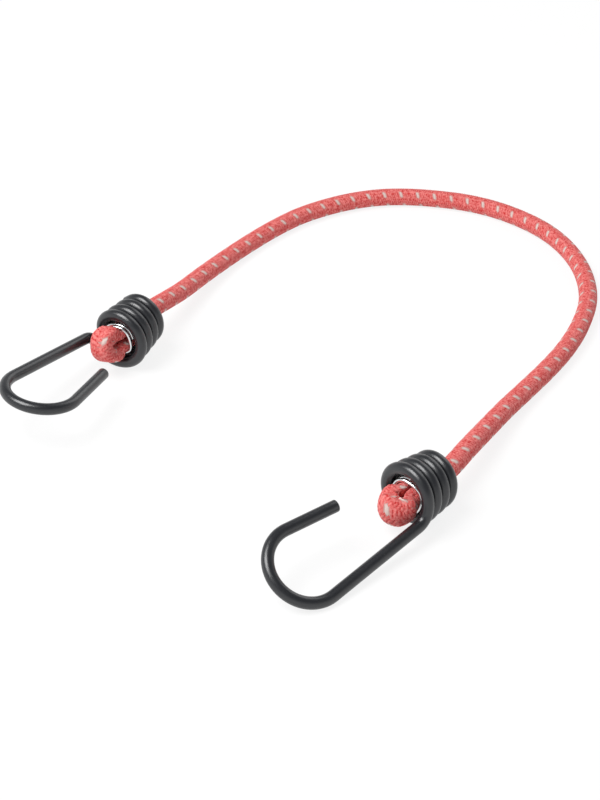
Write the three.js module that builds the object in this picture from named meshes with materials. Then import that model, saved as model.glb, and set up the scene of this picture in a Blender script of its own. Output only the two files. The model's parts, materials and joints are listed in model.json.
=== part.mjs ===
// A bungee cord lying on a table: rubber strands in a braided sleeve, folded back and clipped at
// each end, with a hook of coated steel wire at each end, whose coil holds the folded cord.
// Millimetres, +Z up, the table at z = 0, the origin under the middle of the two hooks.
import * as THREE from 'three';

// Cord: a braided sleeve over one middle strand and a ring of strands round it.
const CORD_DIAMETER = 8;
const SLEEVE_WALL = 0.6;
const STRANDS_ROUND_MIDDLE = 6;
const STRAND_GAP = 0.2;
const CORD_SIDES = 10;
const STRAND_SIDES = 5;
const LYING_STEPS = 38;
const LEAD_LENGTH = 3;

// Folded end: the cord turns back on itself, and the clip squeezes its two limbs together. In
// front of the clip the fold swells into a ball, which hangs a little off the coil's axis.
const LIMB_SQUEEZE = 0.6;
const LIMB_SPREAD = 1.17;
const FOLD_SQUEEZE = 0.93;
const FOLD_SPREAD = 1.4;
const TIP_SQUEEZE = 0.74;
const LIMB_GAP = 0.4;
const FOLD_STANDOFF = 8.3;
const SWELL_ROOM = 0.6;
const TAIL_LENGTH = 2;
const FOLD_STEPS = 8;
const HANG_LENGTH = 14;
const HANG_MOST = 1.18;

// Clip: a round steel wire closed about both limbs, with its ends lapped.
const CLIP_WIRE = 1.4;
const CLIP_TURNS = 1.25;
const CLIP_STEPS_A_TURN = 20;
const CLIP_SIDES = 6;
const CLIP_SQUARENESS = 2.6;
const CLIP_DEPTH = 3.8;
const CLIP_GAP = 0.45;

// Hook: one steel wire in a plastic coat, from the coil's cut end to the hook's tip.
const HOOK_WIRE = 3.2;
const COAT_WALL = 0.4;
const COAT_FIT = 0.25;
const WIRE_SIDES = 6;
const COAT_SIDES = 8;
const TIP_RECESS = 1;
const CUT_LENGTH = 2.2;
const COIL_TURNS = 3.8;
const COIL_STEPS_A_TURN = 16;
const COIL_TAPER = 0.107;
const TURN_GAP = 0.6;
const NECK_RADIUS = 5.6;
const NECK_STEPS = 5;
const SHANK_LENGTH = 43.3;
const BEND_RADIUS = 13.85;
const BEND_STEPS = 13;

// Fits between pieces that touch, and the room that the clip has in the coil's mouth.
const CLEARANCE = 0.3;
const SEAT_ROOM = 1.05;
const TABLE_GAP = 0.12;

// Wire hooks are never bent quite alike: how far each one's shank leans out from the coil's axis
// and tilts to one side of it, how far its leg closes in on the shank, and how long the leg is.
const HOOK_BENDS = {
  a: { lean: 4, tilt: 9.9, closing: 10.5, leg: 21.8 },
  b: { lean: 5.5, tilt: 10.7, closing: 13, leg: 24.8 },
};

// Where each hook lies: the middle of its coil's mouth on the table, the way it points, how far
// it dips, how far it is turned about its coil, how far the folded cord in it is turned, and how
// far the fold hangs to the side and upward of the coil's axis.
const HOOK_PLACES = {
  a: { x: 36.7, y: -78.6, heading: -131.9, dip: -4.3, turn: 176.4, foldTurn: -12, aside: 0, lift: -1.5 },
  b: { x: -72.7, y: 22.9, heading: -118.5, dip: 3, turn: 23.2, foldTurn: -80, aside: -0.8, lift: 0.6 },
};

// The cord's way between the hooks: x, y and the lift of the cord off the table.
const ROUTE = [
  [61.9, -44.8, 5.6], [69.6, -30.4, 3.6], [78.6, -13.9, 1.4], [88.1, 1.1, 0.2], [97.6, 15.2, 0],
  [106.9, 30.6, 0], [115.1, 48.7, 0], [121.1, 70.1, 0], [121.5, 92.8, 0], [117, 112.8, 0],
  [109.1, 128.6, 0], [99, 140.4, 0], [87.8, 149.3, 0], [75.8, 155.3, 0], [63.2, 158.8, 0],
  [50.4, 160.7, 0], [37.4, 160.3, 0], [24.4, 156.8, 0], [11.8, 150.6, 0], [-0.4, 142, 0],
  [-11.6, 130.6, 0], [-22.2, 117.5, 0], [-31.9, 103.2, 0.5], [-41.2, 86.1, 2.3], [-49.7, 67.8, 5],
];

// Sizes that follow from those above.
const UP = new THREE.Vector3(0, 0, 1);
const cordRadius = CORD_DIAMETER / 2;
const boreRadius = cordRadius - SLEEVE_WALL;
const facet = Math.cos(Math.PI / CORD_SIDES);
const strandRadius = (boreRadius * facet - CLEARANCE - STRAND_GAP) / 3;
const strandSpacing = 2 * strandRadius + STRAND_GAP;
const lyingHeight = cordRadius * facet + TABLE_GAP;

const limbHalf = cordRadius * LIMB_SQUEEZE;
const limbSpread = cordRadius * LIMB_SPREAD;
const limbOffset = limbHalf + LIMB_GAP / 2;
const foldHalf = cordRadius * FOLD_SQUEEZE;
const foldSpread = cordRadius * FOLD_SPREAD;
const tipHalf = cordRadius * TIP_SQUEEZE;
const foldRadius = foldHalf + LIMB_GAP / 2;
const clipReach = limbOffset + limbHalf + CLEARANCE + CLIP_WIRE;
const foldReach = foldRadius + foldHalf;

const coatBore = HOOK_WIRE / 2 + COAT_FIT;
const coatRadius = coatBore + COAT_WALL;
const coilPitch = 2 * coatRadius + TURN_GAP;
const seatRadius = Math.max(clipReach + SEAT_ROOM, foldReach) + coatRadius;
const mouthRadius = seatRadius + COIL_TAPER * CLIP_DEPTH;
const coilLength = COIL_TURNS * coilPitch;
const rearX = -coilLength - coatRadius;
const foldX = coatRadius + FOLD_STANDOFF - foldReach;

const degrees = THREE.MathUtils.degToRad;

/** A regular polygon with a flat side down, as points in a section's own u and v. */
function polygon(sides, radius, centre = new THREE.Vector2()) {
  const points = [];
  for (let side = 0; side < sides; side += 1) {
    const angle = -Math.PI / 2 + ((side + 0.5) * 2 * Math.PI) / sides;
    points.push(new THREE.Vector2(centre.x + radius * Math.cos(angle), centre.y + radius * Math.sin(angle)));
  }
  return points;
}

/** Frames along a path: u and v span the section, and each v stays as near as it can to a wish. */
function framesAlong(points, wishes) {
  return points.map((origin, index) => {
    const before = points[Math.max(index - 1, 0)];
    const after = points[Math.min(index + 1, points.length - 1)];
    const along = after.clone().sub(before).normalize();
    const v = wishes[index].clone().addScaledVector(along, -along.dot(wishes[index])).normalize();
    return { origin, along, v, u: v.clone().cross(along) };
  });
}

/** Frames along a path that turn about it as little as they can. */
function steadyFrames(points, firstWish) {
  const wishes = [];
  let wish = firstWish;
  points.forEach((point, index) => {
    const before = points[Math.max(index - 1, 0)];
    const after = points[Math.min(index + 1, points.length - 1)];
    const along = after.clone().sub(before).normalize();
    wish = wish.clone().addScaledVector(along, -along.dot(wish)).normalize();
    wishes.push(wish);
  });
  return framesAlong(points, wishes);
}

/** Carries a section along frames into one closed body, with a bore right through if one is given. */
function sweep(frames, outline, bore = null) {
  const loops = bore ? [outline, bore] : [outline];
  const positions = [];
  const starts = [];
  for (const loop of loops) {
    starts.push(positions.length / 3);
    for (const frame of frames) {
      for (const point of loop) {
        const across = (frame.across ?? 1) * point.x;
        const through = (frame.through ?? 1) * point.y;
        const place = frame.origin.clone().addScaledVector(frame.u, across).addScaledVector(frame.v, through);
        positions.push(place.x, place.y, place.z);
      }
    }
  }
  const indices = [];
  loops.forEach((loop, order) => {
    const sides = loop.length;
    for (let step = 0; step < frames.length - 1; step += 1) {
      for (let side = 0; side < sides; side += 1) {
        const low = starts[order] + step * sides;
        const a = low + side;
        const b = low + ((side + 1) % sides);
        const [c, d] = [b + sides, a + sides];
        indices.push(...(order === 0 ? [a, b, c, a, c, d] : [a, c, b, a, d, c]));
      }
    }
  });
  const faces = THREE.ShapeUtils.triangulateShape(outline, bore ? [[...bore].reverse()] : []);
  const cornerAt = (corner, step) => {
    if (corner < outline.length) return step * outline.length + corner;
    return starts[1] + step * bore.length + (bore.length - 1 - (corner - outline.length));
  };
  for (const [a, b, c] of faces) {
    const last = frames.length - 1;
    indices.push(cornerAt(c, 0), cornerAt(b, 0), cornerAt(a, 0));
    indices.push(cornerAt(a, last), cornerAt(b, last), cornerAt(c, last));
  }
  const geometry = new THREE.BufferGeometry();
  geometry.setAttribute('position', new THREE.Float32BufferAttribute(positions, 3));
  geometry.setIndex(indices);
  geometry.computeVertexNormals();
  return geometry;
}

/** A named mesh with a material of its own. */
function piece(name, geometry, color, roughness, metalness) {
  const mesh = new THREE.Mesh(geometry, new THREE.MeshStandardMaterial({ color, roughness, metalness }));
  mesh.name = name;
  return mesh;
}

/** The least space between a tube and itself, from one stretch to any that is not next to it. */
function leastGap(points, diameter) {
  const lengths = [0];
  points.slice(1).forEach((point, index) => lengths.push(lengths[index] + point.distanceTo(points[index])));
  let least = Infinity;
  points.forEach((one, i) => {
    points.forEach((other, j) => {
      if (lengths[j] - lengths[i] > 4 * diameter) least = Math.min(least, one.distanceTo(other) - diameter);
    });
  });
  return least;
}

/** The hook wire's middle line, from the coil's cut end to the tip, with the coil's axis along x. */
function hookLine(bends) {
  const points = [];
  const coilPoint = (turns) => {
    const angle = 2 * Math.PI * turns;
    const radius = mouthRadius - COIL_TAPER * coilPitch * turns;
    return new THREE.Vector3(-coilPitch * turns, -radius * Math.cos(angle), -radius * Math.sin(angle));
  };
  const steps = Math.round(COIL_TURNS * COIL_STEPS_A_TURN);
  for (let step = 0; step <= steps; step += 1) {
    points.push(coilPoint(COIL_TURNS * (1 - step / steps)));
  }
  const endWay = points[0].clone().sub(points[1]).normalize();
  points.unshift(points[0].clone().addScaledVector(endWay, CUT_LENGTH));

  // The neck bends the wire out of the mouth turn and into the shank, which leans out from the
  // coil's axis and tilts to one side of it.
  const mouth = points[points.length - 1];
  const leaving = mouth.clone().sub(points[points.length - 2]).normalize();
  const inward = new THREE.Vector3(0, mouthRadius, -NECK_RADIUS).normalize();
  const axis = new THREE.Vector3(1, 0, 0);
  const side = axis.clone().cross(inward);
  const lean = degrees(bends.lean);
  const tilt = degrees(bends.tilt);
  const outward = axis.clone().multiplyScalar(Math.cos(lean)).addScaledVector(inward, -Math.sin(lean));
  const shankWay = outward.multiplyScalar(Math.cos(tilt)).addScaledVector(side, Math.sin(tilt));
  const crossWay = axis.clone().multiplyScalar(Math.sin(lean)).addScaledVector(inward, Math.cos(lean));
  const bendWay = shankWay.clone().addScaledVector(leaving, -leaving.dot(shankWay)).normalize();
  const neckAngle = leaving.angleTo(shankWay);
  for (let step = 1; step <= NECK_STEPS; step += 1) {
    const angle = (neckAngle * step) / NECK_STEPS;
    const along = NECK_RADIUS * Math.sin(angle);
    const aside = NECK_RADIUS * (1 - Math.cos(angle));
    points.push(mouth.clone().addScaledVector(leaving, along).addScaledVector(bendWay, aside));
  }

  // The shank runs into the round bend, and the leg closes in on the shank up to the tip.
  const shankEnd = points[points.length - 1].clone().addScaledVector(shankWay, SHANK_LENGTH);
  const bendCentre = shankEnd.clone().addScaledVector(crossWay, BEND_RADIUS);
  const bendAngle = Math.PI + degrees(bends.closing);
  for (let step = 0; step <= BEND_STEPS; step += 1) {
    const angle = (bendAngle * step) / BEND_STEPS;
    const forward = BEND_RADIUS * Math.sin(angle);
    const aside = -BEND_RADIUS * Math.cos(angle);
    points.push(bendCentre.clone().addScaledVector(shankWay, forward).addScaledVector(crossWay, aside));
  }
  const legWay = shankWay.clone().multiplyScalar(Math.cos(bendAngle)).addScaledVector(crossWay, Math.sin(bendAngle));
  points.push(points[points.length - 1].clone().addScaledVector(legWay, bends.leg));
  return points;
}

/** A hook: the coat, and the steel wire in it, whose ends lie a little inside the coat's. */
function makeHook(letter) {
  const line = hookLine(HOOK_BENDS[letter]);
  const frames = steadyFrames(line, new THREE.Vector3(1, 0, 0));
  const last = frames.length - 1;
  const wireFrames = frames.map((frame, index) => {
    const inset = index === 0 ? TIP_RECESS : index === last ? -TIP_RECESS : 0;
    return { ...frame, origin: frame.origin.clone().addScaledVector(frame.along, inset) };
  });
  const coat = sweep(frames, polygon(COAT_SIDES, coatRadius), polygon(WIRE_SIDES, coatBore));
  const wire = sweep(wireFrames, polygon(WIRE_SIDES, HOOK_WIRE / 2));
  const hook = new THREE.Group();
  hook.add(piece(`hook_coat_${letter}`, coat, 0x1b1b1c, 0.38, 0));
  hook.add(piece(`hook_wire_${letter}`, wire, 0x8d9092, 0.4, 1));
  return hook;
}

/** Points a group along a hook's heading and dip, turned about its own x by a given angle. */
function aim(group, place, turn) {
  group.rotation.set(degrees(turn), degrees(place.dip), degrees(place.heading), 'ZYX');
  group.position.set(place.x, place.y, 0);
}

/** Lowers or lifts a group until its lowest point touches the table. */
function setDown(group) {
  const box = new THREE.Box3().setFromObject(group, true);
  group.position.z -= box.min.z;
}

/** How far the folded end hangs off the coil's axis at a given x, in the folded end's own y and z. */
function hang(x, place) {
  const share = THREE.MathUtils.clamp(1 + (x - foldX) / HANG_LENGTH, 0, HANG_MOST);
  const turn = degrees(place.foldTurn);
  const y = place.aside * Math.cos(turn) + place.lift * Math.sin(turn);
  const z = place.lift * Math.cos(turn) - place.aside * Math.sin(turn);
  return new THREE.Vector3(0, y, z).multiplyScalar(share ** 3);
}

/** The clip's middle line: an oval turn about both limbs that ends a quarter turn beside itself. */
function clipLine(place) {
  const pitch = CLIP_WIRE + CLIP_GAP;
  const across = clipReach - CLIP_WIRE / 2;
  const widest = limbSpread * Math.pow(1 - Math.pow(limbOffset / across, CLIP_SQUARENESS), -1 / CLIP_SQUARENESS);
  const through = widest + CLEARANCE + CLIP_WIRE / 2;
  const round = (value) => Math.sign(value) * Math.pow(Math.abs(value), 2 / CLIP_SQUARENESS);
  const steps = Math.round(CLIP_TURNS * CLIP_STEPS_A_TURN);
  const points = [];
  for (let step = 0; step <= steps; step += 1) {
    const turns = (CLIP_TURNS * step) / steps;
    const angle = 2 * Math.PI * (turns + 0.25);
    const x = -CLIP_DEPTH + CLIP_WIRE / 2 + pitch * turns;
    const point = new THREE.Vector3(x, across * round(Math.cos(angle)), through * round(Math.sin(angle)));
    points.push(point.add(hang(x, place)));
  }
  return points;
}

/** The folded end's stations from its cut end to the coil's rear, with x along the coil's axis. */
function foldStations(place) {
  const foldTurn = degrees(place.foldTurn);
  const stations = [];
  const add = (x, y, half, spread, untwist) => {
    const point = new THREE.Vector3(x, y, 0).add(hang(x, place));
    const wish = new THREE.Vector3(0, Math.sin(foldTurn * untwist), Math.cos(foldTurn * untwist));
    stations.push({ point, wish, across: half / cordRadius, through: spread / cordRadius });
  };
  const clipFront = -CLIP_DEPTH + (CLIP_WIRE + CLIP_GAP) * CLIP_TURNS + CLIP_WIRE + SWELL_ROOM;
  const tailEnd = -CLIP_DEPTH - TAIL_LENGTH;
  add(tailEnd, limbOffset, limbHalf, limbSpread, 0);
  add(-CLIP_DEPTH, limbOffset, limbHalf, limbSpread, 0);
  add(clipFront, limbOffset, limbHalf, limbSpread, 0);
  for (let step = 0; step <= FOLD_STEPS; step += 1) {
    const angle = Math.PI / 2 - (Math.PI * step) / FOLD_STEPS;
    const half = THREE.MathUtils.lerp(foldHalf, tipHalf, Math.cos(angle) ** 2);
    const radius = foldReach - half;
    add(foldX + radius * Math.cos(angle), radius * Math.sin(angle), half, foldSpread, 0);
  }
  add(clipFront, -limbOffset, limbHalf, limbSpread, 0);
  add(-CLIP_DEPTH, -limbOffset, limbHalf, limbSpread, 0);
  add(tailEnd - LIMB_GAP, -limbOffset, limbHalf, limbSpread, 0);
  const shift = tailEnd - LIMB_GAP - rearX;
  for (const part of [0.3, 0.6]) {
    const ease = 1 - part * part * (3 - 2 * part);
    const half = THREE.MathUtils.lerp(cordRadius, limbHalf, ease);
    const spread = THREE.MathUtils.lerp(cordRadius, limbSpread, ease);
    add(tailEnd - LIMB_GAP - shift * part, -limbOffset * ease, half, spread, part);
  }
  add(rearX, 0, cordRadius, cordRadius, 1);
  return stations;
}

/** Stations of one folded end in the table's frame. */
function placeStations(end, place) {
  return foldStations(place).map((station) => ({
    ...station,
    point: end.localToWorld(station.point.clone()),
    wish: station.wish.clone().transformDirection(end.matrixWorld),
  }));
}

/** Frames of the whole cord, from one cut end to the other. */
function cordFrames(ends) {
  const first = placeStations(ends.a, HOOK_PLACES.a);
  const second = placeStations(ends.b, HOOK_PLACES.b).reverse();
  const lead = (end) => end.localToWorld(new THREE.Vector3(rearX - LEAD_LENGTH, 0, 0));
  const lying = ROUTE.map(([x, y, lift]) => new THREE.Vector3(x, y, lyingHeight + lift));
  const free = [first[first.length - 1].point, lead(ends.a), ...lying, lead(ends.b), second[0].point];
  const curve = new THREE.CatmullRomCurve3(free, false, 'centripetal');
  const between = curve.getSpacedPoints(LYING_STEPS).slice(1, -1);
  const middle = between.map((point) => ({ point, wish: UP, across: 1, through: 1 }));
  const stations = [...first, ...middle, ...second];
  const frames = framesAlong(stations.map(({ point }) => point), stations.map(({ wish }) => wish));
  return frames.map((frame, index) => ({
    ...frame,
    across: stations[index].across,
    through: stations[index].through,
  }));
}

/** The cord: the braided sleeve, and the rubber strands that run through it from end to end. */
function makeCord(ends) {
  const frames = cordFrames(ends);
  const cord = new THREE.Group();
  const sleeve = sweep(frames, polygon(CORD_SIDES, cordRadius), polygon(CORD_SIDES, boreRadius));
  cord.add(piece('sleeve', sleeve, 0xb8322f, 0.9, 0));
  for (let strand = 0; strand <= STRANDS_ROUND_MIDDLE; strand += 1) {
    const angle = (2 * Math.PI * strand) / STRANDS_ROUND_MIDDLE;
    const away = strand === 0 ? 0 : strandSpacing;
    const centre = new THREE.Vector2(away * Math.cos(angle), away * Math.sin(angle));
    const rubber = sweep(frames, polygon(STRAND_SIDES, strandRadius, centre));
    cord.add(piece(`strand_${strand + 1}`, rubber, 0xd9c7a0, 0.7, 0));
  }
  return cord;
}

/** The whole part, with its origin under the middle of the two hooks. */
function makeBungee() {
  const part = new THREE.Group();
  const rigid = new THREE.Group();
  const ends = {};
  for (const [letter, place] of Object.entries(HOOK_PLACES)) {
    const hook = makeHook(letter);
    aim(hook, place, place.turn);
    setDown(hook);
    const end = new THREE.Group();
    aim(end, place, place.foldTurn);
    end.position.z = hook.position.z;
    const line = clipLine(place);
    const clip = sweep(steadyFrames(line, new THREE.Vector3(1, 0, 0)), polygon(CLIP_SIDES, CLIP_WIRE / 2));
    end.add(piece(`clip_${letter}`, clip, 0xc9cdd0, 0.25, 1));
    end.updateMatrixWorld(true);
    rigid.add(hook, end);
    ends[letter] = end;
  }
  part.add(rigid, makeCord(ends));
  const box = new THREE.Box3().setFromObject(rigid, true);
  const middle = box.getCenter(new THREE.Vector3());
  part.position.set(-middle.x, -middle.y, -box.min.z);
  part.updateMatrixWorld(true);
  return part;
}

const bungee = makeBungee();
for (const [letter, place] of Object.entries(HOOK_PLACES)) {
  const hookGap = leastGap(hookLine(HOOK_BENDS[letter]), 2 * coatRadius);
  const clipGap = leastGap(clipLine(place), CLIP_WIRE);
  console.log(`least gap to itself: hook ${letter} ${hookGap.toFixed(2)}, clip ${letter} ${clipGap.toFixed(2)} mm`);
}

export default bungee;
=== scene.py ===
"""A bungee cord on a pale floor: braided elastic cord with a coated wire hook at each end.

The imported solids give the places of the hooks. This script makes the shown surfaces around them: the
braid with its tracer yarn, the rubber strands, the coated wires and the steel clips. Sizes are metres.
"""

import json
import logging
import math
from dataclasses import dataclass, field
from enum import Enum

import bpy
import numpy as np
from mathutils import Euler, Matrix, Vector

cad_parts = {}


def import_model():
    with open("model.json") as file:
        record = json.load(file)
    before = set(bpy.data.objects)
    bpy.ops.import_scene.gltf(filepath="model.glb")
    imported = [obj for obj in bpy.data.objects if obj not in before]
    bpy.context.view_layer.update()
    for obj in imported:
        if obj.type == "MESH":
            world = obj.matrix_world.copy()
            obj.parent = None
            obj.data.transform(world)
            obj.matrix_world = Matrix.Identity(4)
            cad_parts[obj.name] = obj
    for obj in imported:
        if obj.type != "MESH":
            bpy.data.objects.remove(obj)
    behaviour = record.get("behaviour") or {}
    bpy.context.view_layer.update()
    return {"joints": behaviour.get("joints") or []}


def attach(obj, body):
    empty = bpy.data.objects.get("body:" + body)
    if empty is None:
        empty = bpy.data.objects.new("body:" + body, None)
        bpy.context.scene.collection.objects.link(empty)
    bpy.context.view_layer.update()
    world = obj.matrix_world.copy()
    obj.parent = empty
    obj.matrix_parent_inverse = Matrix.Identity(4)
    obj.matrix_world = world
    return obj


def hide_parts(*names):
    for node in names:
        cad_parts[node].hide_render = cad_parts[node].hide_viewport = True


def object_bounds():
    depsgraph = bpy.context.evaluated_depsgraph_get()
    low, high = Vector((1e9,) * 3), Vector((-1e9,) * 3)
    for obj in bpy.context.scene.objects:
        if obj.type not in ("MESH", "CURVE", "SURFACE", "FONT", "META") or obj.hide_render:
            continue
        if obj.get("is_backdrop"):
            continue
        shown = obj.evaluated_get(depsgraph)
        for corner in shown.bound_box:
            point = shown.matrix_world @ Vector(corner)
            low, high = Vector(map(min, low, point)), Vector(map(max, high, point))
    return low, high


LOG = logging.getLogger("bungee")
MM = 0.001
FULL_TURN = 2 * math.pi
IMAGE_HEIGHT = 800
LAY_MAP = "Lay"
BAKE_MAP = "OFBake"
Colour = tuple[float, float, float]
Place = tuple[float, float, float]
Span = tuple[float, float]
Socket = bpy.types.NodeSocket

# The cord's way between the hooks on the table: x, y and the lift of the cord off the table.
ROUTE = (
    (0.0619, -0.0448, 0.0056), (0.0696, -0.0304, 0.0036), (0.0786, -0.0139, 0.0014),
    (0.0881, 0.0011, 0.0002), (0.0976, 0.0152, 0.0), (0.1069, 0.0306, 0.0), (0.1151, 0.0487, 0.0),
    (0.1211, 0.0701, 0.0), (0.1215, 0.0928, 0.0), (0.117, 0.1128, 0.0), (0.1091, 0.1286, 0.0),
    (0.099, 0.1404, 0.0), (0.0878, 0.1493, 0.0), (0.0758, 0.1553, 0.0), (0.0632, 0.1588, 0.0),
    (0.0504, 0.1607, 0.0), (0.0374, 0.1603, 0.0), (0.0244, 0.1568, 0.0), (0.0118, 0.1506, 0.0),
    (-0.0004, 0.142, 0.0), (-0.0116, 0.1306, 0.0), (-0.0222, 0.1175, 0.0), (-0.0319, 0.1032, 0.0005),
    (-0.0412, 0.0861, 0.0023), (-0.0497, 0.0678, 0.005),
)
# Where hook a's coil mouth lies in the same table measures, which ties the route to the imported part.
TABLE_PLACE_A = Vector((0.0367, -0.0786, 0.0))
# A plain round section: its scale across, through and on its inner side, and that side's squareness.
PLAIN_SECTION = (1.0, 1.0, 1.0, 0.0)
# Places of a Mix node's inputs and output for colours, which come after those for numbers and vectors.
MIX_FACTOR, MIX_FIRST, MIX_SECOND = 0, 6, 7
MIX_RESULT = 2


class Slot(Enum):
    """The record's material slots."""

    SLEEVE = "sleeve"
    RUBBER = "rubber"
    COAT = "hook_coat"
    WIRE = "hook_wire"
    CLIP = "clip"


class Side(Enum):
    """The two hooks: a is the near one, b the one at the left."""

    A = "a"
    B = "b"


class Body(Enum):
    """The bodies that pieces ride on."""

    CORD = "cord"
    HOOK_A = "hook_a"
    HOOK_B = "hook_b"


@dataclass(frozen=True)
class CordSizes:
    """Sizes of the cord, of its folded ends and of the clips that hold them."""

    diameter: float = 8.0 * MM
    wall: float = 0.6 * MM
    packed_sides: int = 10
    strands_round_middle: int = 6
    strand_gap: float = 0.2 * MM
    lying_height: float = 3.92 * MM
    lead: float = 3.0 * MM
    limb_squeeze: float = 0.6
    limb_spread: float = 1.17
    fold_squeeze: float = 0.93
    tip_squeeze: float = 0.74
    pit: float = 0.5 * MM
    limb_gap: float = 0.4 * MM
    fold_standoff: float = 8.3 * MM
    swell_room: float = 0.6 * MM
    tail: float = 2.0 * MM
    hang_length: float = 14.0 * MM
    hang_most: float = 1.18
    clip_wire: float = 1.4 * MM
    clip_turns: float = 1.25
    clip_squareness: float = 2.6
    clip_depth: float = 3.8 * MM
    clip_gap: float = 0.45 * MM
    clearance: float = 0.3 * MM

    @property
    def radius(self) -> float:
        """Half the cord's width."""
        return self.diameter / 2

    @property
    def bore(self) -> float:
        """Radius of the sleeve's bore."""
        return self.radius - self.wall

    @property
    def strand(self) -> float:
        """Radius of one rubber strand: three of them reach from the cord's middle to its bore."""
        return (self.bore * math.cos(math.pi / self.packed_sides) - self.clearance - self.strand_gap) / 3

    @property
    def limb_half(self) -> float:
        """Half the thickness of a squeezed limb of the fold."""
        return self.radius * self.limb_squeeze

    @property
    def limb_offset(self) -> float:
        """From the coil's axis to the middle of a limb."""
        return self.limb_half + self.limb_gap / 2

    @property
    def fold_half(self) -> float:
        """Half the cord's thickness where it turns back."""
        return self.radius * self.fold_squeeze

    @property
    def fold_reach(self) -> float:
        """From the coil's axis to the outside of the fold."""
        return self.fold_half + self.limb_gap / 2 + self.fold_half

    @property
    def clip_pitch(self) -> float:
        """From one turn of the clip's wire to the next."""
        return self.clip_wire + self.clip_gap

    @property
    def clip_reach(self) -> float:
        """From the coil's axis to the outside of the clip."""
        return self.limb_offset + self.limb_half + self.clearance + self.clip_wire


@dataclass(frozen=True)
class HookSizes:
    """Sizes of a hook's wire and of its coat."""

    wire: float = 3.2 * MM
    coat_wall: float = 0.4 * MM
    coat_fit: float = 0.25 * MM
    tip_recess: float = 1.0 * MM
    cut_length: float = 2.2 * MM
    coil_turns: float = 3.8
    coil_taper: float = 0.107
    turn_gap: float = 0.6 * MM
    neck_radius: float = 5.6 * MM
    shank: float = 43.3 * MM
    bend_radius: float = 13.85 * MM
    seat_room: float = 1.05 * MM

    @property
    def coat_bore(self) -> float:
        """Radius of the coat's bore."""
        return self.wire / 2 + self.coat_fit

    @property
    def coat_radius(self) -> float:
        """Outer radius of the coat."""
        return self.coat_bore + self.coat_wall

    @property
    def pitch(self) -> float:
        """From one turn of the coil to the next."""
        return 2 * self.coat_radius + self.turn_gap

    @property
    def rear(self) -> float:
        """Where the coil ends on its axis, behind its mouth."""
        return -self.coil_turns * self.pitch - self.coat_radius

    def mouth_radius(self, cord: CordSizes) -> float:
        """Radius of the wire's middle line in the mouth turn, which seats on the clip and the fold."""
        seated = max(cord.clip_reach + self.seat_room, cord.fold_reach)
        return seated + self.coat_radius + self.coil_taper * cord.clip_depth

    def fold_x(self, cord: CordSizes) -> float:
        """Where the fold's middle lies on the coil's axis, in front of the mouth turn's middle."""
        return self.coat_radius + cord.fold_standoff - cord.fold_reach


@dataclass(frozen=True)
class HookBends:
    """How one hook's wire is bent: its shank's lean and tilt off the coil's axis, and its leg."""

    lean: float
    tilt: float
    closing: float
    leg: float


@dataclass(frozen=True)
class FoldShape:
    """How one folded end is pressed into its coil: its width, and how it swells in front of the clip."""

    spread: float
    shoulder: float
    pressed: float


@dataclass(frozen=True)
class HookPose:
    """How one hook lies: read from its joint, apart from its turns about the coil's axis."""

    side: Side
    bends: HookBends
    origin: Vector
    axis: Vector
    roll: float
    fold_turn: float
    aside: float
    lift: float
    fold: FoldShape

    def hang(self, x: np.ndarray, cord: CordSizes, hook: HookSizes) -> np.ndarray:
        """How far the folded end hangs off the coil's axis, in the folded end's own frame.

        Args:
            x: places along the coil's axis.
            cord: sizes of the cord.
            hook: sizes of the hook.

        Returns:
            One vector for each place.
        """
        share = np.clip(1 + (x - hook.fold_x(cord)) / cord.hang_length, 0, cord.hang_most) ** 3
        y = self.aside * math.cos(self.fold_turn) + self.lift * math.sin(self.fold_turn)
        z = self.lift * math.cos(self.fold_turn) - self.aside * math.sin(self.fold_turn)
        return share[:, None] * np.array([[0.0, y, z]])

    def matrix(self, turn: float) -> Matrix:
        """Places what is modelled along x on the coil's axis.

        Args:
            turn: how far it is turned about the axis.

        Returns:
            The matrix from the coil's own frame to the part's frame.
        """
        heading = math.atan2(self.axis.y, self.axis.x)
        dip = -math.asin(self.axis.z)
        return Matrix.Translation(self.origin) @ Euler((turn, dip, heading), "XYZ").to_matrix().to_4x4()

    def on_axis(self, x: float) -> np.ndarray:
        """The point at a place along the coil's axis, in the part's frame."""
        return moved(self.matrix(0.0), np.array([[x, 0.0, 0.0]]))[0]


def unit(rows: np.ndarray) -> np.ndarray:
    """Rows of vectors, each brought to length one."""
    return rows / np.linalg.norm(rows, axis=1, keepdims=True)


def moved(matrix: Matrix, points: np.ndarray) -> np.ndarray:
    """Points, one a row, carried by a matrix."""
    turn = np.array(matrix.to_3x3())
    return points @ turn.T + np.array(matrix.translation)


def signed_power(values: np.ndarray, power: np.ndarray | float) -> np.ndarray:
    """Powers of the values' sizes, with the values' own signs."""
    return np.sign(values) * np.abs(values) ** power


def smooth_rows(rows: np.ndarray, steps: int) -> np.ndarray:
    """A centripetal curve through rows of numbers, whose first three are a point.

    Args:
        rows: the rows that the curve goes through.
        steps: how many rows come out for each span.

    Returns:
        The rows along the curve, both ends included.
    """
    full = np.concatenate([2 * rows[:1] - rows[1:2], rows, 2 * rows[-1:] - rows[-2:-1]])
    knots = np.sqrt(np.linalg.norm(np.diff(full[:, :3], axis=0), axis=1))
    share = np.linspace(0, 1, steps, endpoint=False)[:, None]
    found = []
    for span in range(len(rows) - 1):
        before, start, stop, after = full[span : span + 4]
        first, middle, last = knots[span : span + 3]
        leaving = (start - before) / first - (stop - before) / (first + middle) + (stop - start) / middle
        arriving = (stop - start) / middle - (after - start) / (middle + last) + (after - stop) / last
        leaving = leaving * middle
        arriving = arriving * middle
        square = -3 * start + 3 * stop - 2 * leaving - arriving
        cube = 2 * start - 2 * stop + leaving + arriving
        found.append(start + leaving * share + square * share**2 + cube * share**3)
    found.append(rows[-1:])
    return np.concatenate(found)


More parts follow.
